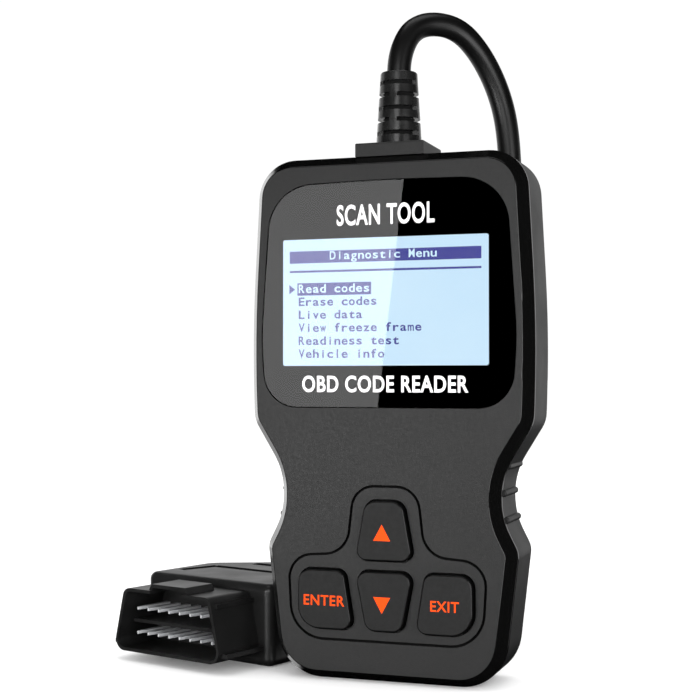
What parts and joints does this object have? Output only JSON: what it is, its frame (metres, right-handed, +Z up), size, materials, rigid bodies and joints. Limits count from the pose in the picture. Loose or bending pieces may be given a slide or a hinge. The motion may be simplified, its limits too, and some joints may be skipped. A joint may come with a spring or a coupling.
{
  "type": "obd code reader",
  "caption": "Hand-held vehicle code reader with a backlit display under a glossy window, raised rubber keys, a waisted case and a corded diagnostic plug.",
  "frame": {"origin": "centre of the case's bounding box on the surface that the case stands on, the cord and plug left out", "axes": "+Z up along the case, -Y out of the display, X across the case"},
  "size_m": [0.1219, 0.192, 0.1791],
  "materials": {
    "case": "fine spark texture, moulded charcoal black",
    "black_screw": "blackened",
    "steel_screw": "zinc plated",
    "label": "dark satin film with nothing printed on it",
    "clear_lens": "polished clear plastic",
    "black_print": "black print on the back of the lens",
    "adhesive": "black foam tape",
    "lcd": "backlit pale blue",
    "backlight": "milky light guide",
    "lcd_holder": "moulded",
    "ribbon": "polyimide film",
    "mat_rubber": "moulded silicone",
    "key_rubber": "smooth moulded silicone with printed legends",
    "carbon": "conductive carbon",
    "gold_contact": "gold flash on copper",
    "circuit_board": "green solder mask",
    "chip": "moulded epoxy",
    "tin": "tinned",
    "can_metal": "satin",
    "white_socket": "moulded nylon",
    "wire_jacket": "insulation",
    "boot_rubber": "moulded, satin",
    "cord_jacket": "extruded, satin",
    "strap": "hook and loop strap",
    "plug_plastic": "moulded, satin",
    "pin_metal": "nickel plated"
  },
  "bodies": {
    "root": {"board_capacitors": "can_metal", "board_resistors": "chip", "board_screws": "steel_screw", "cable_block": "boot_rubber", "cable_connector": "white_socket", "cable_end": "cord_jacket", "cable_header": "white_socket", "case_screws": "black_screw", "chip_leads": "tin", "cord_coil": "cord_jacket", "cord_tie": "strap", "cord_to_plug": "cord_jacket", "cord_upper": "cord_jacket", "crystal": "can_metal", "display_lens": "clear_lens", "front_cover": "case", "inner_wires": "wire_jacket", "key_contacts": "gold_contact", "keypad_mat": "mat_rubber", "lcd_backlight": "backlight", "lcd_frame": "lcd_holder", "lcd_glass": "lcd", "lcd_ribbon": "ribbon", "lens_adhesive": "adhesive", "lens_mask": "black_print", "main_board": "circuit_board", "plug_board": "circuit_board", "plug_boot": "boot_rubber", "plug_lower_half": "plug_plastic", "plug_pins": "pin_metal", "plug_screws": "black_screw", "plug_shroud": "plug_plastic", "plug_upper_half": "plug_plastic", "processor_chip": "chip", "rating_label": "label", "rear_cover": "case", "ribbon_socket": "white_socket", "strain_relief": "boot_rubber", "transceiver_chip": "chip", "voltage_regulator": "chip"},
    "up_key_body": {"up_key": "key_rubber", "up_key_pill": "carbon"},
    "down_key_body": {"down_key": "key_rubber", "down_key_pill": "carbon"},
    "enter_key_body": {"enter_key": "key_rubber", "enter_key_pill": "carbon"},
    "exit_key_body": {"exit_key": "key_rubber", "exit_key_pill": "carbon"}
  },
  "joints": [
    {"name": "up_key_press", "type": "slide", "parent": "root", "child": "up_key_body", "axis": [0, 1, 0], "range_m": [0, 0.001], "stiffness_N_per_m": 1500},
    {"name": "down_key_press", "type": "slide", "parent": "root", "child": "down_key_body", "axis": [0, 1, 0], "range_m": [0, 0.001], "stiffness_N_per_m": 1500},
    {"name": "enter_key_press", "type": "slide", "parent": "root", "child": "enter_key_body", "axis": [0, 1, 0], "range_m": [0, 0.001], "stiffness_N_per_m": 1500},
    {"name": "exit_key_press", "type": "slide", "parent": "root", "child": "exit_key_body", "axis": [0, 1, 0], "range_m": [0, 0.001], "stiffness_N_per_m": 1500}
  ]
}
